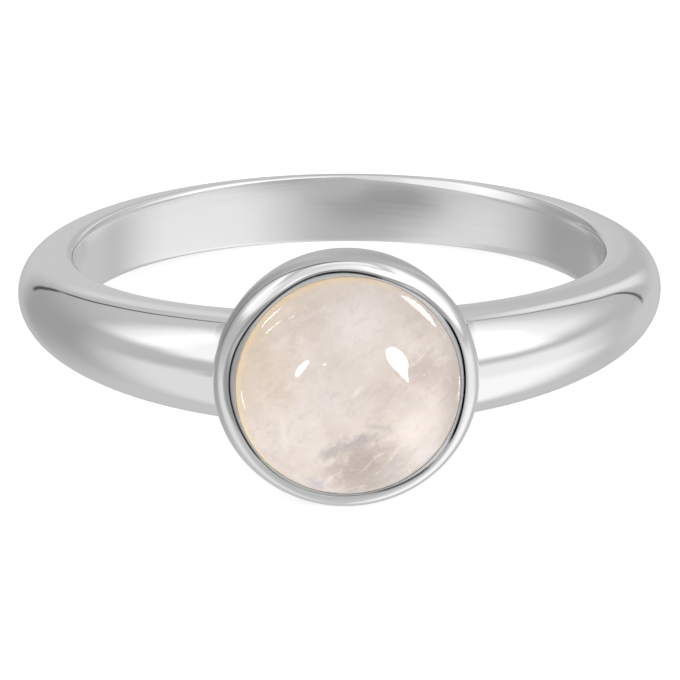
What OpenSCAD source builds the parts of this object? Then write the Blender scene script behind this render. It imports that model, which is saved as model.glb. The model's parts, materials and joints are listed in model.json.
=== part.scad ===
// Moonstone ring: a plain high-polish band that widens and thickens towards the front,
// with a round cabochon held in a smooth rubover bezel that is soldered across it.
// The ring lies on its side as it rests by itself. The bezel is wider than the band, so
// it touches the floor at the bezel's lowest place and at the back of the band, and the
// stone faces slightly upwards. +Z is up, the stone faces -Y, and the floor is Z = 0.

/* [Finger hole] */
// Radius of the finger hole
bore_r = 8.65; // [7:0.05:10.5]

/* [Band] */
// Metal thickness behind the stone
thick_front = 1.83; // [1.7:0.01:2.1]
// Metal thickness at the back of the finger
thick_back = 1.14; // [1.1:0.01:1.5]
// Extra thickness halfway round, beyond the even taper from front to back
thick_side = 0.40; // [0:0.01:0.5]
// Width of the band behind the stone
width_front = 3.76; // [3:0.01:4]
// Width of the band at the back of the finger
width_back = 2.34; // [2:0.01:2.42]
// Width taken away halfway round, below the even taper from front to back
width_side = 0.48; // [0:0.01:0.5]
// Radius of the domed outside, as a share of the half width
dome_share = 1.04; // [1.01:0.01:1.1]
// Radius of the shoulder between side face and dome, as a share of the half width
shoulder_share = 0.68; // [0.5:0.01:0.8]
// Radius of the soft edge at the finger hole, where the side face is wide enough
edge_round = 0.45; // [0.2:0.01:0.5]

/* [Stone] */
// Radius of the cabochon at its flat base
stone_r = 3.88; // [3.6:0.01:4.1]
// Height of the cabochon from its flat base to the top of its dome
stone_height = 3.00; // [2.7:0.01:3.5]
// Squareness of its profile, where 2 is an ellipse and more is steeper at the base
stone_power = 2.35; // [2.1:0.05:2.6]
// Metal between the finger hole and the seat that the stone lies on
seat_thick = 0.75; // [0.65:0.01:0.9]
// Clear gap between the stone and the metal
stone_gap = 0.02; // [0.01:0.005:0.03]

/* [Bezel] */
// Metal outside the stone's base, at the bezel's widest place
bezel_wall = 0.37; // [0.35:0.01:0.5]
// Height of the rounded rim, from its widest place to its top
rim_height = 0.60; // [0.4:0.01:0.65]
// Height of the rim's top above the stone's seat
rim_rise = 1.20; // [1.1:0.01:1.25]
// Height of the thin collar that leans on the stone, above the rim
collar_height = 0.20; // [0.1:0.01:0.25]
// Thickness of the collar at its foot, where the rim meets it
collar_foot = 0.04; // [0.04:0.005:0.08]
// Thickness of the collar at its top edge
collar_edge = 0.03; // [0.02:0.005:0.04]
// How much the bezel narrows from its widest place to its back
back_taper = 0.12; // [0.05:0.01:0.2]
// Thickness of the bezel's floor under the stone, beside the band
floor_thick = 0.40; // [0.35:0.01:0.45]
// Radius of the soft edge round the bezel's flat back
back_round = 0.35; // [0.15:0.01:0.35]

/* [Hidden] */

// Steps round the band, and steps along each part of the outlines
band_steps = 72;
dome_steps = 5;
shoulder_steps = 4;
edge_steps = 3;
rim_steps = 12;
stone_steps = 24;
$fn = 96;

// The soft edge turns to this angle, and the blank's outline then runs straight on by
// this much into the finger hole, which is bored true afterwards
edge_end = 150;
bore_stock = 0.60;

// Distances along the stone's axis are counted from the axis of the finger hole
seat_h = bore_r + seat_thick;
stone_h = seat_h + stone_gap;
rim_h = seat_h + rim_rise;
collar_h = rim_h + collar_height;
back_h = seat_h - floor_thick;
bezel_r = stone_r + bezel_wall;

// The bezel's widest place, and the centre of its soft back edge, as [radius, height]
widest = [bezel_r, rim_h - rim_height];
back_centre = [bezel_r - back_taper - back_round, back_h + back_round];

// Points of an arc round a centre from angle a0 to a1
function arc(centre, r, a0, a1, steps) =
    [for (i = [0:steps]) let (a = a0 + (a1 - a0) * i / steps)
        centre + r * [cos(a), sin(a)]];

// Sizes of the band at angle phi, which is 0 behind the stone and 180 at the back
function front_share(phi) = (1 + cos(phi)) / 2;
function thickness(phi) = thick_back + (thick_front - thick_back) * front_share(phi)
    + thick_side * pow(sin(phi), 2);
function half_width(phi) = (width_back + (width_front - width_back) * front_share(phi)
    - width_side * pow(sin(phi), 2)) / 2;
function dome_r(phi) = dome_share * half_width(phi);
function shoulder_r(phi) = shoulder_share * half_width(phi);

// Angle at which the dome runs into the shoulder
function blend_angle(phi) = asin((half_width(phi) - shoulder_r(phi))
    / (dome_r(phi) - shoulder_r(phi)));

// Centres of the dome and the shoulder, as [distance from the bore axis, height]
function dome_centre(phi) = [bore_r + thickness(phi) - dome_r(phi), 0];
function shoulder_centre(phi) = dome_centre(phi)
    + (dome_r(phi) - shoulder_r(phi)) * [cos(blend_angle(phi)), sin(blend_angle(phi))];

// Radius and centre of the soft edge at the finger hole, tighter on a narrow side face
function edge_r(phi) = let (side = shoulder_centre(phi)[0] - bore_r)
    edge_round * side / (edge_round + side);
function edge_centre(phi) = [bore_r + edge_r(phi), half_width(phi) - edge_r(phi)];

// Upper half of the band's section, from the middle of the dome to the finger hole
function half_section(phi) = concat(
    arc(dome_centre(phi), dome_r(phi), 0, blend_angle(phi), dome_steps),
    [for (i = [1:shoulder_steps]) let (a = blend_angle(phi)
        + (90 - blend_angle(phi)) * i / shoulder_steps)
        shoulder_centre(phi) + shoulder_r(phi) * [cos(a), sin(a)]],
    arc(edge_centre(phi), edge_r(phi), 90, edge_end, edge_steps),
    [edge_centre(phi) + edge_r(phi) * [cos(edge_end), sin(edge_end)]
        + bore_stock * [cos(edge_end + 90), sin(edge_end + 90)]]);

// Whole section: the upper half and, without its shared middle point, the lower half
function section(phi) = let (up = half_section(phi))
    concat(up, [for (i = [len(up) - 1:-1:1]) [up[i][0], -up[i][1]]]);

// A section's points set in the ring, whose stone faces -Y
function placed(phi) = [for (p = section(phi)) [p[0] * sin(phi), -p[0] * cos(phi), p[1]]];

// Radius of the cabochon at a height above its base, and its outline
function stone_radius(y) = stone_r
    * pow(1 - pow(y / stone_height, stone_power), 1 / stone_power);
function stone_point(a) = [stone_r * pow(cos(a), 2 / stone_power),
    stone_h + stone_height * pow(sin(a), 2 / stone_power)];
stone_side = [for (i = [0:stone_steps]) stone_point(90 * i / stone_steps)];
stone_outline = concat([[0, stone_h]], stone_side);

// Outline of the hole that the stone fills with a clear gap
hole_outline = concat([[0, seat_h], [stone_r + stone_gap, seat_h]],
    [for (p = stone_side) p + [stone_gap, 0]],
    [[0, stone_h + stone_height]]);

// Outline of the bezel from its back, up its wall, over its rim and up its collar
wall_lean = atan2(widest[0] - back_centre[0], widest[1] - back_centre[1])
    - asin(back_round / norm(widest - back_centre));
function collar_r(h, thick) = stone_radius(h - stone_h) + stone_gap + thick;
rim_width = bezel_r - collar_r(rim_h, collar_foot);
bezel_outline = concat(
    [[0, back_h]],
    arc(back_centre, back_round, -90, -wall_lean, rim_steps / 2),
    [for (i = [0:rim_steps]) let (a = 90 * i / rim_steps)
        widest + [-rim_width * (1 - cos(a)), rim_height * sin(a)]],
    [[collar_r(collar_h, collar_edge), collar_h], [0, collar_h]]);

// Tilt at which a point of the bezel's outline and the back of the band share a floor
function tilt_on(p) =
    let (reach = p[1] + shoulder_centre(180)[0], drop = p[0] - shoulder_centre(180)[1])
    atan2(drop, reach) - asin(shoulder_r(180) / norm([reach, drop]));
tilt = max([for (p = bezel_outline) tilt_on(p)]);

// Height of the bore axis above the floor, and the middle of the ring's length
rest_z = shoulder_centre(180)[0] * sin(tilt) + shoulder_centre(180)[1] * cos(tilt)
    + shoulder_r(180);
front_reach = max([for (p = stone_outline) p[1] * cos(tilt) + p[0] * sin(tilt)]);
back_reach = max([for (p = half_section(180)) p[0] * cos(tilt) + p[1] * sin(tilt)]);
rest_y = (front_reach - back_reach) / 2;

// Lays the upright ring on its side
module at_rest() {
    translate([0, rest_y, rest_z])
        rotate([-tilt, 0, 0])
            children();
}

// Turns an outline round the stone's axis
module turned_on_stone_axis(outline) {
    rotate([90, 0, 0])
        rotate_extrude()
            polygon(outline);
}

// The band before it is bored: one section at every step round the finger
module band_blank() {
    count = len(section(0));
    points = [for (s = [0:band_steps - 1]) each placed(360 * s / band_steps)];
    faces = [for (s = [0:band_steps - 1], i = [0:count - 1])
        let (t = (s + 1) % band_steps, j = (i + 1) % count,
             a = s * count + i, b = s * count + j,
             c = t * count + j, d = t * count + i)
        each [[a, b, c], [a, c, d]]];
    polyhedron(points, faces, convexity = 4);
}

module finger_hole() {
    cylinder(h = 4 * width_front, r = bore_r, center = true);
}

module band_and_bezel() {
    color("silver")
        at_rest()
            difference() {
                union() {
                    band_blank();
                    turned_on_stone_axis(bezel_outline);
                }
                finger_hole();
                turned_on_stone_axis(hole_outline);
            }
}

module moonstone() {
    color("wheat")
        at_rest()
            turned_on_stone_axis(stone_outline);
}

band_and_bezel();
moonstone();
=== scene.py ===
"""A moonstone ring: polished silver band and bezel, and a milky cabochon.

The ring lies on its side on a pale floor, seen from the front and above. The metal is one
piece, the band and the bezel fused, and the stone is the other. Both are made in the
ring's own axes: X to the right, the stone facing -Y, and Z along the finger hole.
The ring's own lengths are in millimetres. Those of the floor and the lights are in metres,
as the meshes are.
"""

import json
import math

import bmesh
import bpy
from mathutils import Matrix, Vector


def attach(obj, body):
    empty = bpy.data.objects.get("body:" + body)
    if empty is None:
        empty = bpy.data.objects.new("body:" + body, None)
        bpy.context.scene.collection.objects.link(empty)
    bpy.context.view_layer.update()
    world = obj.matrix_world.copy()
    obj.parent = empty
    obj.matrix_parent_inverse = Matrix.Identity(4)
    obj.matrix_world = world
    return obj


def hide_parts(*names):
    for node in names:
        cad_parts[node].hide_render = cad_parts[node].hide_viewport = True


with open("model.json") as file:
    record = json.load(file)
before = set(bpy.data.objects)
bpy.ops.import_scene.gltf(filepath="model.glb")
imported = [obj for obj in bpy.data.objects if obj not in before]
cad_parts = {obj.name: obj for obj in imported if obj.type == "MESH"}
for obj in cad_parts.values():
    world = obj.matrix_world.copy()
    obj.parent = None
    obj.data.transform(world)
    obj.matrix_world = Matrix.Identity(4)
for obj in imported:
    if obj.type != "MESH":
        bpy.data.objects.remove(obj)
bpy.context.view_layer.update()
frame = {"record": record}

MM = 0.001
HALF_PI = math.pi / 2

# Sizes, as the solids have them. The band's thickness and width are given behind the stone
# and at the back, with what is added to the one and taken off the other halfway round.

BORE_R = 8.65
THICK_FRONT, THICK_BACK, THICK_SIDE = 1.83, 1.14, 0.40
WIDTH_FRONT, WIDTH_BACK, WIDTH_SIDE = 3.76, 2.34, 0.48
DOME_SHARE, SHOULDER_SHARE, EDGE_ROUND = 1.04, 0.68, 0.45

STONE_R, STONE_HEIGHT, STONE_POWER, STONE_GAP = 3.88, 3.00, 2.35, 0.02
SEAT_THICK, FLOOR_THICK = 0.75, 0.40
BEZEL_WALL, BACK_TAPER, BACK_ROUND = 0.37, 0.12, 0.35
RIM_RISE, RIM_HEIGHT = 1.20, 0.60
COLLAR_HEIGHT, COLLAR_EDGE = 0.20, 0.03

# Distances along the stone's axis, counted from the axis of the finger hole
SEAT_H = BORE_R + SEAT_THICK
STONE_H = SEAT_H + STONE_GAP
RIM_H = SEAT_H + RIM_RISE
COLLAR_H = RIM_H + COLLAR_HEIGHT
BACK_H = SEAT_H - FLOOR_THICK

# The bezel's widest place, and the centre of its soft back edge, as (radius, height)
BEZEL_R = STONE_R + BEZEL_WALL
WIDEST = (BEZEL_R, RIM_H - RIM_HEIGHT)
BACK_CENTRE = (BEZEL_R - BACK_TAPER - BACK_ROUND, BACK_H + BACK_ROUND)

# What wear and handwork have changed, which the solids don't have

# How much wider the finger hole is at its ends than in its middle, where polishing has
# rounded it, for each square millimetre of the distance from its middle
BORE_DOME = 0.04

# The finger hole's edges are worn back, and more on the right of the back than elsewhere:
# the middle and half length of that stretch in degrees round the finger, the least and
# greatest width of what is worn, how steep it is, and how softly it starts
WORN_AT, WORN_HALF = 141, 46
WORN_LEAST, WORN_MOST, WORN_SLOPE, WORN_SOFT = 0.06, 0.26, 0.47, 0.03

# The rim's crest, the crease inside it and the collar over that are pushed by hand, so that
# none is quite round. Each sway is how far it goes, how many times in a turn, and at which
# angle it goes farthest. Where the rim is pushed in, it climbs the stone, so that the crease
# stays clear of it.
CREST_R, CREASE_WIDTH, CREASE_DEPTH = 3.776, 0.035, 0.04
CREASE_CLEAR, CLIMB_SOFT = 0.035, 0.10
CREST_SWAYS = ((0.060, 1, -40), (0.035, 5, 101))
COLLAR_SWAYS = ((0.105, 1, 157), (0.053, 2, 0))

# The finger hole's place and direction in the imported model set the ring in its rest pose
BORE = next(m for m in frame["record"]["mounts"] if m["name"] == "finger_bore")
TILT = math.atan2(BORE["axis"][1], BORE["axis"][2])
REST = Matrix.Translation(BORE["pos_m"]) @ Matrix.Rotation(-TILT, 4, "X")


def arc(centre, radius, start, end, steps, high=None):
    """Points of an arc from one angle to another, both ends included.

    Where high is given, the arc belongs to an ellipse that is so high at half its width.
    """
    high = radius if high is None else high
    angles = [start + (end - start) * i / steps for i in range(steps + 1)]
    return [(centre[0] + radius * math.cos(a), centre[1] + high * math.sin(a)) for a in angles]


def line(start, end, steps):
    """Points from start towards end, without either end."""
    return [tuple(s + (e - s) * i / steps for s, e in zip(start, end)) for i in range(1, steps)]


def closed_grid(name, rows, capped):
    """A mesh over rows of points, each joined to the next and the last to the first.

    An uncapped row is a loop. A capped one runs from one end of the axis to the other,
    and its first and last points are shared by all the rows.
    """
    bm = bmesh.new()
    first = [bm.verts.new(Vector(p) * MM) for p in rows[0]]
    grid = [first]
    for row in rows[1:]:
        verts = [bm.verts.new(Vector(p) * MM) for p in (row[1:-1] if capped else row)]
        grid.append([first[0]] + verts + [first[-1]] if capped else verts)
    count = len(first)
    for r, row in enumerate(grid):
        after = grid[(r + 1) % len(grid)]
        for i in range(count - 1 if capped else count):
            j = (i + 1) % count
            corners = (row[i], row[j], after[j], after[i])
            bm.faces.new([v for k, v in enumerate(corners) if v != corners[k - 1]])
    bmesh.ops.recalc_face_normals(bm, faces=bm.faces)
    mesh = bpy.data.meshes.new(name)
    bm.to_mesh(mesh)
    bm.free()
    return mesh


# The band: one section at every step round the finger

BAND_STEPS = 480

# Steps along each part of the upper half of the section, from the dome to the hole's middle
DOME_STEPS, SHOULDER_STEPS, SIDE_STEPS = 9, 12, 2
EDGE_STEPS, WORN_STEPS, HOLE_STEPS = 8, 10, 8


def hole_radius(z):
    """Radius of the finger hole at a height, before wear."""
    return BORE_R + BORE_DOME * z ** 2


def worn_depth(up, worn):
    """How deep the worn edge is at a distance up from where it starts."""
    return WORN_SLOPE * worn * (math.hypot(up, WORN_SOFT) - WORN_SOFT)


def band_section(phi):
    """The whole outline at angle phi, as (distance from the bore axis, height)."""
    front = (1 + math.cos(phi)) / 2
    side = math.sin(phi) ** 2
    thick = THICK_BACK + (THICK_FRONT - THICK_BACK) * front + THICK_SIDE * side
    half = (WIDTH_BACK + (WIDTH_FRONT - WIDTH_BACK) * front - WIDTH_SIDE * side) / 2

    dome, shoulder = DOME_SHARE * half, SHOULDER_SHARE * half
    blend = math.asin((half - shoulder) / (dome - shoulder))
    dome_c = (BORE_R + thick - dome, 0.0)
    shoulder_c = (
        dome_c[0] + (dome - shoulder) * math.cos(blend),
        (dome - shoulder) * math.sin(blend),
    )
    off = abs(math.degrees(phi) - WORN_AT) / WORN_HALF
    worn = math.cos(min(off, 1) * HALF_PI)
    width = WORN_LEAST + (WORN_MOST - WORN_LEAST) * worn ** 2
    depth = worn_depth(width, worn)

    # The soft edge meets the hole where both have the same slope
    room = shoulder_c[0] - BORE_R - depth
    edge = EDGE_ROUND * room / (EDGE_ROUND + room)
    steep = WORN_SLOPE * worn * width / math.hypot(width, WORN_SOFT)
    slope = math.atan(2 * BORE_DOME * (half - edge) + steep)
    end_z = half - edge + edge * math.sin(slope)
    start_z = end_z - width
    edge_c = (hole_radius(end_z) + depth + edge * math.cos(slope), half - edge)

    upper = arc(dome_c, dome, 0, blend, DOME_STEPS)
    upper += arc(shoulder_c, shoulder, blend, HALF_PI, SHOULDER_STEPS)[1:]
    upper += line(upper[-1], (edge_c[0], half), SIDE_STEPS)
    upper += arc(edge_c, edge, HALF_PI, math.pi - slope, EDGE_STEPS)
    for i in range(1, WORN_STEPS + 1):
        z = end_z - width * i / WORN_STEPS
        upper.append((hole_radius(z) + worn_depth(z - start_z, worn), z))
    for i in range(1, HOLE_STEPS):
        z = start_z * (1 - i / HOLE_STEPS)
        upper.append((hole_radius(z), z))
    lower = [(rho, -z) for rho, z in reversed(upper[1:])]
    return upper + [(BORE_R, 0.0)] + lower


def band_mesh():
    rows = []
    for step in range(BAND_STEPS):
        phi = 2 * math.pi * step / BAND_STEPS
        rows.append([
            (rho * math.sin(phi), -rho * math.cos(phi), z) for rho, z in band_section(phi)
        ])
    return closed_grid("band", rows, capped=False)


# The bezel and the stone: outlines turned round the stone's axis

TURN_STEPS = 288

# Steps along each part of the stone's outline and of the bezel's, from its back to its seat
BASE_STEPS, STONE_STEPS = 6, 96
FLOOR_STEPS, BACK_STEPS, WALL_STEPS = 8, 12, 6
RIM_STEPS, CREASE_STEPS, COLLAR_STEPS = 24, 12, 8
LIP_STEPS, INSIDE_STEPS = 6, 12

# How far the cup that is cut out of the band lies inside the bezel's skin
CUP_INSET = 0.12


def stone_radius(h):
    """Radius of the cabochon at a height along its axis."""
    return STONE_R * (1 - ((h - STONE_H) / STONE_HEIGHT) ** STONE_POWER) ** (1 / STONE_POWER)


def height_of_radius(r):
    """Height along its axis at which the cabochon has a radius."""
    return STONE_H + STONE_HEIGHT * (1 - (r / STONE_R) ** STONE_POWER) ** (1 / STONE_POWER)


def softer_max(a, b, soft):
    """The larger of two numbers, rounded off where they are nearly the same."""
    near = max(soft - abs(a - b), 0) / soft
    return max(a, b) + near ** 3 * soft / 6


def turned_mesh(name, outline):
    """A closed solid: an outline of (radius, height) from axis to axis, turned round.

    The outline is a function of the angle round the stone's axis.
    """
    rows = []
    for step in range(TURN_STEPS):
        a = 2 * math.pi * step / TURN_STEPS
        rows.append([(r * math.cos(a), -h, r * math.sin(a)) for r, h in outline(a)])
    return closed_grid(name, rows, capped=True)


def stone_outline(_angle):
    """The cabochon from the middle of its base, up its side to the top of its dome."""
    power = 2 / STONE_POWER
    base = (0.0, STONE_H)
    points = [base] + line(base, (STONE_R, STONE_H), BASE_STEPS)
    for i in range(STONE_STEPS):
        a = HALF_PI * i / STONE_STEPS
        points.append((
            STONE_R * math.cos(a) ** power,
            STONE_H + STONE_HEIGHT * math.sin(a) ** power,
        ))
    return points + [(0.0, STONE_H + STONE_HEIGHT)]


def swayed(level, sways, angle):
    """A level with its sways added, at an angle round the stone."""
    return level + sum(far * math.cos(times * (angle - math.radians(at)))
                       for far, times, at in sways)


def bezel_outline(angle):
    """The bezel from its back, up the wall, over rim and collar, and down to the seat."""
    crest_r = swayed(CREST_R, CREST_SWAYS, angle)
    climb = height_of_radius(crest_r - CREASE_WIDTH - CREASE_CLEAR)
    crest_h = softer_max(RIM_H, climb, CLIMB_SOFT)
    collar_h = swayed(COLLAR_H, COLLAR_SWAYS, angle)
    reach = (WIDEST[0] - BACK_CENTRE[0], WIDEST[1] - BACK_CENTRE[1])
    lean = math.atan2(*reach) - math.asin(BACK_ROUND / math.hypot(*reach))

    points = [(0.0, BACK_H)] + line((0.0, BACK_H), (BACK_CENTRE[0], BACK_H), FLOOR_STEPS)
    points += arc(BACK_CENTRE, BACK_ROUND, -HALF_PI, -lean, BACK_STEPS)
    points += line(points[-1], WIDEST, WALL_STEPS)
    points += arc((crest_r, WIDEST[1]), BEZEL_R - crest_r, 0.0, HALF_PI, RIM_STEPS,
                  high=crest_h - WIDEST[1])
    points += arc((crest_r, crest_h - CREASE_DEPTH), CREASE_WIDTH, HALF_PI, math.pi,
                  CREASE_STEPS, high=CREASE_DEPTH)[1:]

    lip = COLLAR_EDGE / 2
    top = (stone_radius(collar_h) + STONE_GAP + lip, collar_h - lip)
    points += line(points[-1], (top[0] + lip, top[1]), COLLAR_STEPS)
    points += arc(top, lip, 0, math.pi, LIP_STEPS)
    seat_edge = (STONE_R + STONE_GAP, STONE_H)
    for _, h in line(top, seat_edge, INSIDE_STEPS):
        points.append((stone_radius(h) + STONE_GAP, h))
    points += [seat_edge, (seat_edge[0], SEAT_H)]
    points += line(points[-1], (0.0, SEAT_H), FLOOR_STEPS)
    return points + [(0.0, SEAT_H)]


def cup_outline(_angle):
    """What the band gives up for the bezel: the cup's outside, a little inside its skin."""
    back = BACK_H + CUP_INSET
    return [
        (0.0, back), (BACK_CENTRE[0], back),
        (BACK_CENTRE[0] + BACK_ROUND - CUP_INSET, back + BACK_ROUND),
        (WIDEST[0] - CUP_INSET, WIDEST[1]), (0.0, RIM_H),
    ]


# Fusing the band and the bezel into one metal piece

CREASE_ANGLE = math.radians(35)


def add_object(name, data):
    piece = bpy.data.objects.new(name, data)
    bpy.context.scene.collection.objects.link(piece)
    return piece


def combine(piece, tool, operation):
    """Applies a boolean to piece and deletes the tool."""
    change = piece.modifiers.new(operation, "BOOLEAN")
    change.object = tool
    change.operation = operation
    change.solver = "EXACT"
    bpy.context.view_layer.update()
    evaluated = piece.evaluated_get(bpy.context.evaluated_depsgraph_get())
    result = bpy.data.meshes.new_from_object(evaluated)
    piece.modifiers.clear()
    piece.data = result
    bpy.data.objects.remove(tool)


metal = add_object("polished_band_and_bezel", band_mesh())
combine(metal, add_object("cup", turned_mesh("cup", cup_outline)), "DIFFERENCE")
combine(metal, add_object("bezel", turned_mesh("bezel", bezel_outline)), "UNION")
stone = add_object("moonstone_cabochon", turned_mesh("cabochon", stone_outline))

for piece, node, slot in (
    (metal, "band_and_bezel", "silver"),
    (stone, "moonstone", "moonstone"),
):
    piece.data.transform(REST)
    piece.data.shade_smooth()
    piece.data.set_sharp_from_angle(angle=CREASE_ANGLE)
    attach(piece, "root")
    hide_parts(node)


# Shader nodes

class Nodes:
    """Adds nodes to a shader tree. Each method gives back the new node's output."""

    def __init__(self, tree):
        self.tree = tree
        tree.nodes.clear()

    def add(self, kind, inputs=None, output=0, **settings):
        node = self.tree.nodes.new(kind)
        for key, value in settings.items():
            setattr(node, key, value)
        for key, value in (inputs or {}).items():
            if isinstance(value, bpy.types.NodeSocket):
                self.tree.links.new(value, node.inputs[key])
            else:
                node.inputs[key].default_value = value
        return node.outputs[output] if node.outputs else node

    def math(self, operation, *values):
        return self.add("ShaderNodeMath", dict(enumerate(values)), operation=operation)

    def product(self, first, *others):
        for other in others:
            first = self.math("MULTIPLY", first, other)
        return first

    def parts(self, vector):
        """The X, Y and Z of a vector."""
        return list(self.add("ShaderNodeSeparateXYZ", {0: vector}).node.outputs)

    def point(self, x, y, z=0.0):
        return self.add("ShaderNodeCombineXYZ", {0: x, 1: y, 2: z})

    def length(self, x, y):
        squares = self.math("MULTIPLY_ADD", x, x, self.math("MULTIPLY", y, y))
        return self.math("SQRT", squares)

    def remap(self, value, low, high, to_low=0.0, to_high=1.0):
        """A smooth step from to_low to to_high as value goes from low to high."""
        return self.add("ShaderNodeMapRange", {
            "Value": value, "From Min": low, "From Max": high,
            "To Min": to_low, "To Max": to_high,
        }, interpolation_type="SMOOTHSTEP")

    def blend(self, share, a, b):
        """The number a where share is 0, and b where it is 1."""
        return self.add("ShaderNodeMix", {0: share, 2: a, 3: b}, data_type="FLOAT")

    def tint(self, share, a, b):
        """The colour a where share is 0, and b where it is 1."""
        return self.add("ShaderNodeMix", {0: share, 6: a, 7: b}, output=2, data_type="RGBA")

    def blend_points(self, share, a, b):
        """The point a where share is 0, and b where it is 1."""
        return self.add("ShaderNodeMix", {0: share, 4: a, 5: b}, output=1, data_type="VECTOR")

    def bump(self, height, distance, normal=None):
        """A normal bent by height, where distance is how high 1 stands, in metres."""
        inputs = {"Height": height, "Distance": distance}
        if normal is not None:
            inputs["Normal"] = normal
        return self.add("ShaderNodeBump", inputs)

    def noise(self, spot, scale, detail=2.0, roughness=0.5, distortion=0.0):
        return self.add("ShaderNodeTexNoise", {
            "Vector": spot, "Scale": scale, "Detail": detail,
            "Roughness": roughness, "Distortion": distortion,
        })


def ring_space(n):
    """A point in the ring's own axes, in millimetres, for a mesh laid down with the ring."""
    back = REST.inverted()
    in_metres = n.add("ShaderNodeMapping", {
        "Vector": n.add("ShaderNodeTexCoord", output=3),
        "Location": back.to_translation(), "Rotation": back.to_euler(),
    })
    return n.add("ShaderNodeVectorMath", {0: in_metres, "Scale": 1 / MM}, operation="SCALE")


def new_material(name):
    material = bpy.data.materials.new(name)
    material.use_nodes = True
    return material, Nodes(material.node_tree)


# The studio: a pale tent with soft windows, seams and cards

# Brightness of the bare tent, at heights in degrees above the ring
TENT = ((-90, 0.60), (-60, 0.58), (-30, 0.52), (0, 0.50), (30, 0.53), (60, 0.58), (90, 0.60))

# What hangs in front of the tent, each row over the ones before it: its name, its middle and
# half width round the ring, in degrees from the camera towards +X, how soft its sides are,
# its middle and half height in degrees above the ring, how soft its upper and lower edges
# are, how far it leans, in degrees round for each degree up, and its brightness
PANELS = (
    ("pale wall behind on the left", -168, 18, 14, 10, 26, 20, 0, 0.60),
    ("pale floor behind on the right", 142, 24, 24, -22, 14, 16, 0, 0.60),
    ("grey wall on the left", -124, 26, 24, -8, 28, 44, 0, 0.36),
    ("floor on the left", -58, 25, 34, -51, 44, 14, 0, 0.76),
    ("card on the right", 60, 37, 44, -15, 16, 12, 0, 0.88),
    ("floor on the right", 60, 37, 44, -62, 38, 14, 0, 1.00),
    ("grey card in front", -11, 24, 18, 0, 11, 10, 1.2, 0.33),
    ("sheet above the lens", -8, 20, 20, 40, 28, 16, 0, 0.74),
    ("left window's glow", -81, 18, 34, 41, 21, 14, 0, 1.00),
    ("left window", -70, 13, 8, 41, 17, 10, 0, 1.10),
    ("front window", -46, 19, 20, 32, 16, 12, 0, 0.98),
    ("right window's glow", 87, 21, 44, 42, 26, 20, 0, 0.95),
    ("right window", 40, 40, 18, 30, 19, 14, 0, 1.20),
    ("right window's upper part", 68, 16, 14, 48, 11, 10, 0, 1.10),
    ("lighter gap at the back", -161, 9, 8, 42, 22, 16, 0, 0.70),
    ("bright strip at the back", 140, 5, 6, 28, 26, 24, -0.28, 0.82),
    ("right seam", 128.3, 0.8, 1.8, 42, 22, 8, -0.28, 0.12),
    ("right seam's end", 134, 1.0, 2, 6, 14, 10, 0.08, 0.07),
    ("left seam", -139.7, 1.1, 1.8, 42, 24, 8, 0.27, 0.07),
    ("left seam's end", -146, 1.5, 2, 7, 10, 6, 0, 0.08),
    ("overhead window", 3, 38, 20, 65, 8, 10, 0, 0.95),
    ("dark corner on the left", -55, 8, 8, 62, 4, 5, 0, 0.50),
)


def studio_light():
    world = bpy.data.worlds.new("studio")
    bpy.context.scene.world = world
    world.use_nodes = True
    n = Nodes(world.node_tree)
    direction = n.add("ShaderNodeTexCoord")
    axes = n.add("ShaderNodeSeparateXYZ", {0: direction}).node.outputs
    backwards = n.math("MULTIPLY", axes["Y"], -1.0)
    around = n.math("DEGREES", n.math("ARCTAN2", axes["X"], backwards))
    height = n.math("DEGREES", n.math("ARCSINE", axes["Z"]))

    def covered(value, middle, half, soft):
        """1 within half of the middle, going softly to 0 outside it."""
        away = n.math("ABSOLUTE", n.math("SUBTRACT", value, middle))
        return n.remap(away, half + soft / 2, half - soft / 2)

    light = TENT[0][1]
    for (low, _), (high, grey) in zip(TENT, TENT[1:]):
        light = n.blend(n.remap(height, low, high), light, grey)
    for _name, turn, half_turn, side_soft, rise, half_rise, edge_soft, lean, grey in PANELS:
        middle = n.math("MULTIPLY_ADD", n.math("SUBTRACT", height, rise), lean, turn)
        from_middle = n.math("WRAP", n.math("SUBTRACT", around, middle), 180.0, -180.0)
        share = n.math(
            "MULTIPLY",
            covered(from_middle, 0.0, half_turn, side_soft),
            covered(height, rise, half_rise, edge_soft),
        )
        light = n.blend(share, light, grey)
    background = n.add("ShaderNodeBackground", {"Color": light})
    n.add("ShaderNodeOutputWorld", {"Surface": background})


# The floor: a pale sheet, lit softly from below as well

FLOOR_SIZE = 1.2
FLOOR_GLOW = 0.56


def pale_floor():
    mesh = bpy.data.meshes.new("floor")
    half = FLOOR_SIZE / 2
    mesh.from_pydata([(-half, -half, 0), (half, -half, 0), (half, half, 0), (-half, half, 0)],
                     [], [(0, 1, 2, 3)])
    floor = add_object("floor", mesh)
    floor.visible_glossy = False
    material, n = new_material("pale_floor")
    spot = n.add("ShaderNodeTexCoord", output=3)
    grain = n.noise(spot, 900.0, detail=3.0)
    colour = n.tint(grain, (0.90, 0.90, 0.90, 1), (0.93, 0.93, 0.93, 1))
    shader = n.add("ShaderNodeBsdfPrincipled", {
        "Base Color": colour, "Roughness": 0.9,
        "Emission Color": colour, "Emission Strength": FLOOR_GLOW,
    })
    n.add("ShaderNodeOutputMaterial", {"Surface": shader})
    mesh.materials.append(material)


# The camera, set in the ring's own axes and laid down with the ring

VIEW_AZIMUTH, VIEW_ELEVATION, VIEW_ROLL = -1.117, 17.619, -0.488
VIEW_DISTANCE = 300.0
AIM_RIGHT, AIM_UP = 0.010, -1.810
PIXELS_PER_MM = 30.446
PICTURE = 680
SENSOR = 36.0


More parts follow.
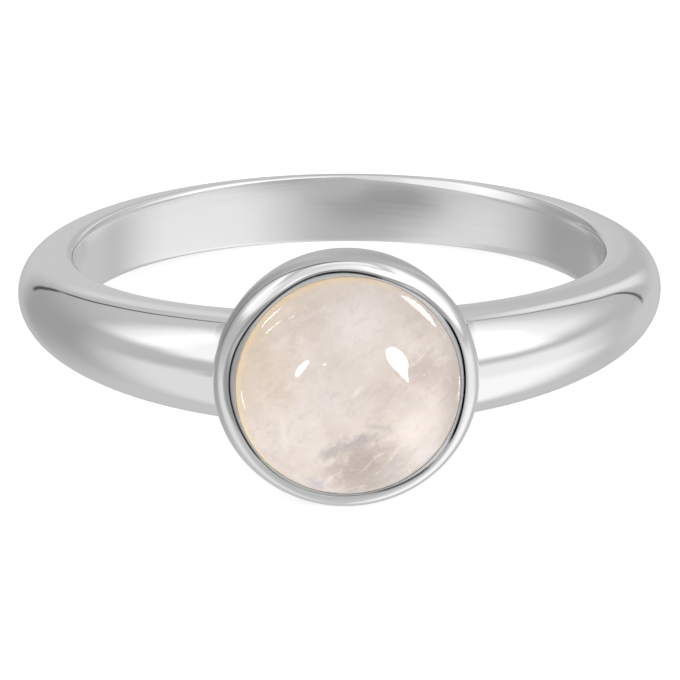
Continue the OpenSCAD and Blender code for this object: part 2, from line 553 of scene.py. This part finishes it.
def camera():
    az, el, roll = (math.radians(v) for v in (VIEW_AZIMUTH, VIEW_ELEVATION, VIEW_ROLL))
    back = Vector((math.sin(az) * math.cos(el), -math.cos(az) * math.cos(el), math.sin(el)))
    right = Vector((0, 0, 1)).cross(back).normalized()
    up = back.cross(right)
    spot = (right * AIM_RIGHT + up * AIM_UP + back * VIEW_DISTANCE) * MM
    turned_right = right * math.cos(roll) + up * math.sin(roll)
    turned_up = up * math.cos(roll) - right * math.sin(roll)

    data = bpy.data.cameras.new("camera")
    data.sensor_width = SENSOR
    data.lens = PIXELS_PER_MM * VIEW_DISTANCE * SENSOR / PICTURE
    data.clip_start, data.clip_end = 0.01, 10.0
    eye = add_object("camera", data)
    turn = Matrix((turned_right, turned_up, back)).transposed().to_4x4()
    eye.matrix_world = REST @ Matrix.Translation(spot) @ turn
    bpy.context.scene.camera = eye


# Silver: a high polish with faint marks that run round the finger and round the stone, a
# softer finish inside the finger hole, a satin wall above the band that carries painted
# shade and a painted dark line, a satin collar round the stone, and painted shade in the
# crease of the setting

# Where shade is painted in the crease of the setting: its middle and half width round the
# stone in degrees, how soft its ends are, and how dark it is
CREASE_SHADE = (
    ("right", 2, 27, 9, 1.0),
    ("upper right", 54, 22, 12, 0.25),
    ("top", 89, 13, 8, 0.95),
    ("top left", 132, 30, 14, 0.75),
    ("left", 188, 26, 12, 0.75),
    ("lower right", 299, 10, 10, 0.5),
    ("bottom", 255, 50, 20, 0.12),
)

# Where the painted shade in the crease and the collar's finish start and are full, in
# heights above the rim's crest and in distances from it towards the stone
CREASE_SHADE_TOP, CREASE_SHADE_FOOT, CREASE_SHADE_SIDE = (0.010, -0.002), (-0.10, -0.07), (-0.006, 0.004)
COLLAR_FOOT, COLLAR_SIDE = (-0.03, 0.0), (0.012, 0.022)

# The same for the finger hole, round the bezel and behind its back
HOLE_FADE = (BORE_R + 0.21, BORE_R + 0.07)
BEZEL_FADE = (BEZEL_R + 0.11, BEZEL_R + 0.04)
BACK_FADE = (BACK_H - 0.15, BACK_H - 0.02)

# Where the satin wall, which carries painted shade, meets the polished rim, which is highest
# over the top of the stone, and how much lower that is on the right
WALL_TOP, WALL_SWAYS, WALL_FALL = 10.35, ((0.15, 1, 85),), 0.38

# Cosine of the angle where that fall starts and is full, sine of the angle where the wall
# does, and how softly it meets the rim. A painted dark line, standing in for a dark
# reflection, runs there, over this stretch to the left and with this half width.
FALL_FADE, WALL_FADE, WALL_SOFT = (0.5, 1.0), (0.20, 0.42), 0.02
LINE_FADE, LINE_EDGE, LINE_SHARE = (0.9, -0.9), (0.024, 0.008), 0.85

# Roughness of each finish, from its smoothest to its roughest places
OUTSIDE_ROUGH, HOLE_ROUGH, WALL_ROUGH = (0.035, 0.06), (0.13, 0.22), (0.24, 0.32)
DULL_ROUGH = 0.40

SILVER, PALE_SILVER = (0.925, 0.925, 0.93, 1), (0.945, 0.943, 0.94, 1)
HOLE_GREY, HOLE_SHARE = (0.90, 0.90, 0.905, 1), 0.6
WALL_SHADE_GREY, COLLAR_GREY = (0.74, 0.74, 0.745, 1), (0.80, 0.81, 0.82, 1)
PAINTED_LINE_GREY, CREASE_SHADE_GREY = (0.20, 0.20, 0.20, 1), (0.025, 0.025, 0.03, 1)

# How high the polishing marks and the waves of the surface stand, in metres, and the share
# of the marks' height that is left outside the finger hole
MARK_HEIGHT, WAVE_HEIGHT, OUTSIDE_MARKS = 1.6e-6, 12e-6, 0.15


def swayed_nodes(n, level, sways, angle):
    """The same as swayed, as shader nodes."""
    for far, times, at in sways:
        turned = n.math("MULTIPLY_ADD", angle, times, -times * math.radians(at))
        level = n.math("MULTIPLY_ADD", n.math("COSINE", turned), far, level)
    return level


def crest_height_nodes(n, crest):
    """The rim's height where its crest has a radius, as in bezel_outline."""
    share = n.math("DIVIDE", n.math("SUBTRACT", crest, CREASE_WIDTH + CREASE_CLEAR), STONE_R)
    rest = n.math("SUBTRACT", 1.0, n.math("POWER", share, STONE_POWER))
    climb = n.math("MULTIPLY_ADD", n.math("POWER", rest, 1 / STONE_POWER), STONE_HEIGHT, STONE_H)
    return n.math("SMOOTH_MAX", climb, RIM_H, CLIMB_SOFT)


def crease_shade_share(n, angle, inside_crest, above_crest):
    """1 where shade is painted, in the crease beside the rim's crest."""
    dark = 0.0
    for _name, middle, half, soft, share in CREASE_SHADE:
        away = n.math("SUBTRACT", angle, math.radians(middle))
        away = n.math("ABSOLUTE", n.math("WRAP", away, math.pi, -math.pi))
        near = n.remap(away, *(math.radians(half + end) for end in (soft, 0)), 0.0, share)
        dark = n.math("MAXIMUM", dark, near)
    return n.product(
        dark,
        n.remap(above_crest, *CREASE_SHADE_TOP),
        n.remap(above_crest, *CREASE_SHADE_FOOT),
        n.remap(inside_crest, *CREASE_SHADE_SIDE),
    )


def metal_shares(n, spot):
    """Where on the metal a point is, each as a share from 0 to 1.

    These are the bezel, the finger hole, the painted shade in the crease, the collar, the satin
    wall that carries painted shade, and the painted dark line where the wall meets the rim.
    """
    x, y, z = n.parts(spot)
    around_stone = n.length(x, z)
    forward = n.math("MULTIPLY", y, -1.0)
    angle = n.math("ARCTAN2", z, x)
    in_bezel = n.product(n.remap(around_stone, *BEZEL_FADE), n.remap(forward, *BACK_FADE))
    in_hole = n.remap(n.length(x, y), *HOLE_FADE)

    crest = swayed_nodes(n, CREST_R, CREST_SWAYS, angle)
    inside_crest = n.math("SUBTRACT", crest, around_stone)
    above_crest = n.math("SUBTRACT", forward, crest_height_nodes(n, crest))
    # Painted shade in the crease beside the rim's crest
    crease_shade = crease_shade_share(n, angle, inside_crest, above_crest)
    on_collar = n.product(n.remap(inside_crest, *COLLAR_SIDE),
                          n.remap(above_crest, *COLLAR_FOOT))

    # The upper wall: a satin finish, with a darker grey that is painted shade
    wall_top = swayed_nodes(n, WALL_TOP, WALL_SWAYS, angle)
    fall = n.remap(n.math("COSINE", angle), *FALL_FADE, 0.0, WALL_FALL)
    below_rim = n.math("SUBTRACT", n.math("SUBTRACT", wall_top, fall), forward)
    upper = n.remap(n.math("SINE", angle), *WALL_FADE)
    on_shaded_satin_wall = n.product(in_bezel, upper, n.remap(below_rim, 0.0, WALL_SOFT))
    # A painted dark line where the wall meets the rim, on the left
    on_painted_line = n.product(
        in_bezel, upper, n.remap(x, *LINE_FADE),
        n.remap(n.math("ABSOLUTE", below_rim), *LINE_EDGE, 0.0, LINE_SHARE),
    )
    return in_bezel, in_hole, crease_shade, on_collar, on_shaded_satin_wall, on_painted_line


def polishing_marks(n, spot, in_bezel):
    """Fine marks, drawn out round the finger on the band and round the stone on the bezel."""
    x, y, z = n.parts(spot)
    forward = n.math("MULTIPLY", y, -1.0)
    round_finger = n.point(n.math("MULTIPLY", x, 0.05), n.math("MULTIPLY", y, 0.05),
                           n.math("ADD", z, n.length(x, y)))
    round_stone = n.point(n.math("MULTIPLY", x, 0.08), n.math("MULTIPLY", z, 0.08),
                          n.math("ADD", n.length(x, z), forward))
    return n.noise(n.blend_points(in_bezel, round_finger, round_stone), 6.0, 5.0, 0.65)


def silver():
    material, n = new_material("polished_silver")
    spot = ring_space(n)
    in_bezel, in_hole, crease_shade, on_collar, on_shaded_satin_wall, on_painted_line = metal_shares(n, spot)
    marks = polishing_marks(n, spot, in_bezel)
    waves = n.noise(spot, 0.5, detail=1.0)
    cloud = n.noise(spot, 1.6, detail=3.0, roughness=0.6)

    outside = n.remap(cloud, 0.35, 0.65, *OUTSIDE_ROUGH)
    roughness = n.blend(in_hole, outside, n.remap(marks, 0.3, 0.7, *HOLE_ROUGH))
    roughness = n.blend(on_shaded_satin_wall, roughness, n.remap(marks, 0.3, 0.7, *WALL_ROUGH))
    roughness = n.blend(n.math("MAXIMUM", on_collar, crease_shade), roughness, DULL_ROUGH)

    colour = n.tint(marks, SILVER, PALE_SILVER)
    colour = n.tint(n.math("MULTIPLY", in_hole, HOLE_SHARE), colour, HOLE_GREY)
    # Painted shade: a darker grey on the satin wall
    colour = n.tint(on_shaded_satin_wall, colour, WALL_SHADE_GREY)
    colour = n.tint(on_collar, colour, COLLAR_GREY)
    # The painted dark line where the wall meets the rim
    colour = n.tint(on_painted_line, colour, PAINTED_LINE_GREY)
    # Painted shade in the crease of the setting
    colour = n.tint(crease_shade, colour, CREASE_SHADE_GREY)

    # The marks stand higher in the finger hole, whose finish is softer
    mark_share = n.blend(in_hole, OUTSIDE_MARKS, 1.0)
    normal = n.bump(n.math("MULTIPLY", marks, mark_share), MARK_HEIGHT)
    normal = n.bump(waves, WAVE_HEIGHT, normal)
    shader = n.add("ShaderNodeBsdfPrincipled", {
        "Base Color": colour, "Metallic": 1.0, "Roughness": roughness, "Normal": normal,
    })
    n.add("ShaderNodeOutputMaterial", {"Surface": shader})
    return material


# Moonstone: milky, with clouds and veils that lie in planes leaning back a little, so
# that each is placed by where it is seen when the stone is looked at from above its axis

VEIL_LEAN = math.radians(17.6)

# The height on the stone's axis at which a veil is where its row says, and which way the
# stone's cleavage draws its mottle out
FACE_H = 10.81
CLEAVAGE = math.radians(38)

MILK, PALE_MILK = (0.74, 0.65, 0.59, 1), (0.84, 0.75, 0.69, 1)

# Light and dark shades over the milk: where in its noise each starts and is full, its
# strength and its colour
WISPS = ((0.56, 0.76, 0.55, (0.90, 0.83, 0.78, 1)), (0.44, 0.26, 0.45, (0.66, 0.56, 0.50, 1)))
MOTTLE = ((0.52, 0.72, 0.45, (0.89, 0.83, 0.79, 1)), (0.48, 0.28, 0.45, (0.64, 0.55, 0.50, 1)))
GRAIN = ((0.52, 0.76, 0.40, (0.86, 0.79, 0.75, 1)), (0.48, 0.26, 0.48, (0.62, 0.54, 0.49, 1)))

# A golden glow is painted in the thin edge of the stone beside the setting, most at the
# first of these angles, and in an arc at the second
GOLD_AT, GLOW_GOLD = math.radians(150), (1.0, 0.77, 0.53, 1)
ARC_AT, PALE_GLOW_GOLD = math.radians(213), (1.0, 0.88, 0.66, 1)

# The painted glow starts and is full at these radii, the edge and the arc at these heights
# above the collar. Each has its strength, and the cosines of the angle from its middle that
# bound it.
GLOW_REACH, GLOW_SHARE, GLOW_TURN = (2.9, 3.5), 0.35, (0.2, 0.95)
EDGE_REACH, EDGE_SHARE, EDGE_TURN = (0.34, 0.08), 0.95, (-0.3, 0.7)
ARC_REACH, ARC_SHARE, ARC_TURN = (0.14, 0.05), 0.9, (0.93, 0.98)

# How high the stone's mottle stands on its surface, in metres
DENT_HEIGHT = 0.25e-6

# Each veil's middle to the right and up, its half width and half height, all in
# millimetres, its turn in degrees, how soft and how ragged its edge is, its strength, and
# its colour
VEILS = (
    ("cream side", -2.61, 0.68, 1.06, 1.93, 0, 1.0, 0.3, 0.70, (0.81, 0.67, 0.54)),
    ("tan mottle", -1.26, 2.03, 1.16, 0.58, 30, 0.8, 1.4, 0.50, (0.68, 0.56, 0.48)),
    ("tan spot", -2.03, -0.29, 0.48, 0.39, 10, 0.8, 1.2, 0.45, (0.70, 0.57, 0.49)),
    ("cool cloud above", 0.25, 1.95, 1.15, 1.15, 20, 1.3, 1.8, 0.80, (0.92, 0.84, 0.80)),
    ("cool cloud below", -0.39, -0.39, 1.26, 0.97, 0, 1.2, 1.5, 0.60, (0.84, 0.77, 0.73)),
    ("low cloud", -1.45, -1.74, 0.77, 0.87, 20, 0.9, 0.6, 0.45, (0.85, 0.77, 0.71)),
    ("bright arc", -2.03, -1.45, 0.10, 0.68, 8, 1.0, 0.4, 0.50, (0.93, 0.87, 0.81)),
    ("grey beside the window", 2.42, 0.48, 0.72, 0.60, 20, 0.9, 1.2, 0.75, (0.60, 0.51, 0.46)),
    ("grey near the rim", 2.20, 2.10, 0.85, 0.75, -40, 0.9, 1.3, 0.45, (0.62, 0.53, 0.48)),
    ("grey in the middle", 0.98, -0.36, 0.80, 0.48, 30, 0.9, 1.4, 0.50, (0.64, 0.55, 0.50)),
    ("low right cloud", 2.45, -2.25, 0.50, 0.55, -30, 0.9, 1.0, 0.80, (0.86, 0.79, 0.75)),
    ("dim right side", 3.45, -0.39, 0.55, 1.84, 0, 1.0, 0.5, 0.80, (0.55, 0.47, 0.42)),
    ("pink cloud", 2.03, -1.45, 0.50, 0.70, -15, 0.9, 1.8, 0.65, (0.94, 0.84, 0.79)),
    ("deep shade", 0.52, -2.70, 1.32, 0.92, 12, 0.8, 1.1, 1.00, (0.50, 0.43, 0.385)),
    ("lilac crest", 0.10, -1.80, 0.72, 0.22, 14, 0.9, 2.4, 0.85, (0.50, 0.45, 0.44)),
    ("lilac spot", -0.60, -2.13, 0.34, 0.27, 30, 0.9, 2.4, 0.80, (0.53, 0.48, 0.47)),
    ("shaded crest", 0.97, -1.31, 0.44, 0.09, -5, 0.9, 1.6, 0.55, (0.56, 0.50, 0.47)),
    ("lilac low right", 1.45, -2.61, 0.60, 0.30, 30, 0.9, 2.0, 0.50, (0.62, 0.56, 0.56)),
    ("lilac at the rim", -0.97, -3.05, 0.34, 0.18, -10, 0.9, 1.2, 0.95, (0.60, 0.55, 0.57)),
    ("bright fleck", 0.29, -0.19, 0.25, 0.08, 48, 0.8, 0.8, 0.75, (0.93, 0.87, 0.83)),
    ("scratch", 2.42, 0.95, 0.60, 0.017, 43, 0.9, 0.2, 0.45, (0.92, 0.86, 0.82)),
    ("second scratch", 2.53, 1.18, 0.48, 0.014, 40, 0.9, 0.2, 0.35, (0.92, 0.86, 0.82)),
    ("third scratch", 2.69, 0.19, 0.41, 0.015, -62, 0.9, 0.2, 0.40, (0.92, 0.86, 0.82)),
)


def veil_share(n, right, up, ragged_noise, row):
    """1 in the middle of one veil and 0 outside it."""
    _name, at_right, at_up, half_w, half_h, turn, soft, ragged, strength, _colour = row
    cosine, sine = math.cos(math.radians(turn)), math.sin(math.radians(turn))
    dx = n.math("SUBTRACT", right, at_right)
    dy = n.math("SUBTRACT", up, at_up)
    along = n.math("MULTIPLY_ADD", dx, cosine / half_w, n.math("MULTIPLY", dy, sine / half_w))
    across = n.math("MULTIPLY_ADD", dy, cosine / half_h, n.math("MULTIPLY", dx, -sine / half_h))
    reach = n.math("MULTIPLY_ADD", ragged_noise, ragged, n.length(along, across))
    return n.remap(reach, 1 + soft / 2, 1 - soft, 0.0, strength)


def drawn_out(n, right, up, raised):
    """A point whose noise is long along the stone's cleavage."""
    cosine, sine = math.cos(CLEAVAGE), math.sin(CLEAVAGE)
    along = n.math("MULTIPLY_ADD", right, cosine, n.math("MULTIPLY", up, sine))
    across = n.math("MULTIPLY_ADD", up, cosine, n.math("MULTIPLY", right, -sine))
    return n.point(n.math("MULTIPLY", along, 0.4), across, n.math("MULTIPLY", raised, 0.5))


def shaded(n, colour, noise, shades):
    """A colour with the light and dark shades of a noise over it."""
    for start, full, strength, shade in shades:
        colour = n.tint(n.remap(noise, start, full, 0.0, strength), colour, shade)
    return colour


def with_painted_glow(n, colour, x, z, forward):
    """A colour with a painted golden glow in the edge of the stone, and in an arc below."""
    angle = n.math("ARCTAN2", z, x)
    above = n.math("SUBTRACT", forward, swayed_nodes(n, COLLAR_H, COLLAR_SWAYS, angle))
    toward = n.math("COSINE", n.math("SUBTRACT", angle, GOLD_AT))
    glow = n.product(n.remap(n.length(x, z), *GLOW_REACH, 0.0, GLOW_SHARE),
                     n.remap(toward, *GLOW_TURN))
    edge = n.product(n.remap(above, *EDGE_REACH, 0.0, EDGE_SHARE), n.remap(toward, *EDGE_TURN))
    colour = n.tint(n.math("MAXIMUM", glow, edge), colour, GLOW_GOLD)
    toward = n.math("COSINE", n.math("SUBTRACT", angle, ARC_AT))
    in_arc = n.product(n.remap(above, *ARC_REACH, 0.0, ARC_SHARE), n.remap(toward, *ARC_TURN))
    return n.tint(in_arc, colour, PALE_GLOW_GOLD)


def moonstone():
    material, n = new_material("milky_moonstone")
    spot = ring_space(n)
    x, y, z = n.parts(spot)
    forward = n.math("MULTIPLY", y, -1.0)
    raised = n.math("SUBTRACT", forward, FACE_H)
    up = n.math("MULTIPLY_ADD", z, math.cos(VEIL_LEAN),
                n.math("MULTIPLY", raised, -math.sin(VEIL_LEAN)))

    cloud = n.noise(spot, 0.7, detail=3.0, roughness=0.5, distortion=0.4)
    wisps = n.noise(spot, 1.7, detail=6.0, roughness=0.62, distortion=1.5)
    mottle = n.noise(drawn_out(n, x, up, raised), 3.6, detail=4.0, roughness=0.62,
                     distortion=0.5)
    grain = n.noise(spot, 3.2, detail=8.0, roughness=0.75, distortion=0.8)
    ragged = n.math("MULTIPLY_ADD", n.math("SUBTRACT", wisps, 0.5), 0.9,
                    n.math("MULTIPLY", n.math("SUBTRACT", mottle, 0.5), 0.7))

    colour = n.tint(n.remap(cloud, 0.3, 0.7), MILK, PALE_MILK)
    colour = shaded(n, colour, wisps, WISPS)
    for row in VEILS:
        colour = n.tint(veil_share(n, x, up, ragged, row), colour, (*row[-1], 1))
    colour = shaded(n, colour, mottle, MOTTLE)
    colour = shaded(n, colour, grain, GRAIN)
    # A painted golden glow in the stone's thin edge and in an arc
    colour = with_painted_glow(n, colour, x, z, forward)

    shader = n.add("ShaderNodeBsdfPrincipled", {
        "Base Color": colour, "Roughness": n.remap(cloud, 0.3, 0.7, 0.025, 0.05), "IOR": 1.52,
        "Subsurface Weight": 0.25, "Subsurface Scale": 0.0004,
        "Subsurface Radius": (1.0, 0.8, 0.65), "Normal": n.bump(mottle, DENT_HEIGHT),
    })
    n.add("ShaderNodeOutputMaterial", {"Surface": shader})
    return material


# Small windows that only the stone mirrors. Each row has the window's middle as seen from
# the stone, in degrees round from the camera towards +X and in degrees up, half its
# length and half its width, its turn from level, and its brightness.

WINDOWS = (
    ("leaf", 34.4, 14.4, 9.6, 7.9, -65, 12),
    ("leaf_waist", 35.6, 6.5, 5.6, 3.4, -68, 12),
    ("leaf_tip", 37.4, 3.2, 4.2, 1.4, -75, 12),
    ("small_leaf", -26.4, 10.1, 6.0, 2.5, 56, 12),
    ("spot", -11.0, 11.7, 0.9, 0.8, 0, 10),
    ("right_streak", 111.5, 31.0, 15.0, 5.6, 76, 5),
    ("left_streak", -102.5, 32.0, 9.5, 1.2, 97, 8),
    ("second_left_streak", -84.5, 31.5, 8.0, 0.9, 74, 8),
    ("third_left_streak", -72.0, 46.0, 3.0, 0.8, 60, 4),
    ("low_left_line", -99.0, -24.0, 6.0, 1.0, -72, 5),
    ("low_right_line", 124.5, -26.0, 8.0, 1.3, -63, 4),
)
WINDOW_DISTANCE = 0.25

# Where all these lights point: a little in front of the stone's base
STONE_CENTRE = REST @ Vector((0, -(STONE_H + 1.0) * MM, 0))


def only_for_stone(light):
    """Makes a light that only the stone receives."""
    group = bpy.data.collections.new(light.name + "_receivers")
    group.objects.link(stone)
    light.light_linking.receiver_collection = group


def stone_light(name, shape, turn, rise, tilt, distance, length, width, brightness):
    """A flat light that faces the stone from a direction given in degrees."""
    around, up = math.radians(turn), math.radians(rise)
    towards = Vector((math.sin(around) * math.cos(up), -math.cos(around) * math.cos(up),
                      math.sin(up)))
    data = bpy.data.lights.new(name, "AREA")
    data.shape, data.size, data.size_y = shape, length, width
    data.energy = 4 * length * width * brightness
    light = add_object(name, data)
    facing = towards.to_track_quat("Z", "Y").to_matrix().to_4x4()
    light.matrix_world = (Matrix.Translation(STONE_CENTRE + towards * distance) @ facing
                          @ Matrix.Rotation(math.radians(tilt), 4, "Z"))
    only_for_stone(light)
    return light


def small_windows():
    for name, turn, rise, half_length, half_width, tilt, brightness in WINDOWS:
        length, width = (2 * WINDOW_DISTANCE * math.tan(math.radians(half))
                         for half in (half_length, half_width))
        light = stone_light("window_" + name, "ELLIPSE", turn, rise, tilt, WINDOW_DISTANCE,
                            length, width, brightness)
        light.visible_diffuse = False


# A large soft light that fills the milky stone, and that nothing mirrors: how high it
# stands in degrees, how far off and how large it is in metres, and its brightness

FILL_RISE, FILL_DISTANCE, FILL_SIZE, FILL = 40, 0.3, 0.3, 0.158


def stone_fill():
    light = stone_light("stone_fill", "RECTANGLE", 0, FILL_RISE, 0, FILL_DISTANCE,
                        FILL_SIZE, FILL_SIZE, FILL)
    light.visible_glossy = False


def dress(piece, material):
    piece.data.materials.clear()
    piece.data.materials.append(material)


dress(metal, silver())
dress(stone, moonstone())
studio_light()
small_windows()
stone_fill()
pale_floor()
camera()
bpy.context.scene.view_settings.view_transform = "Standard"
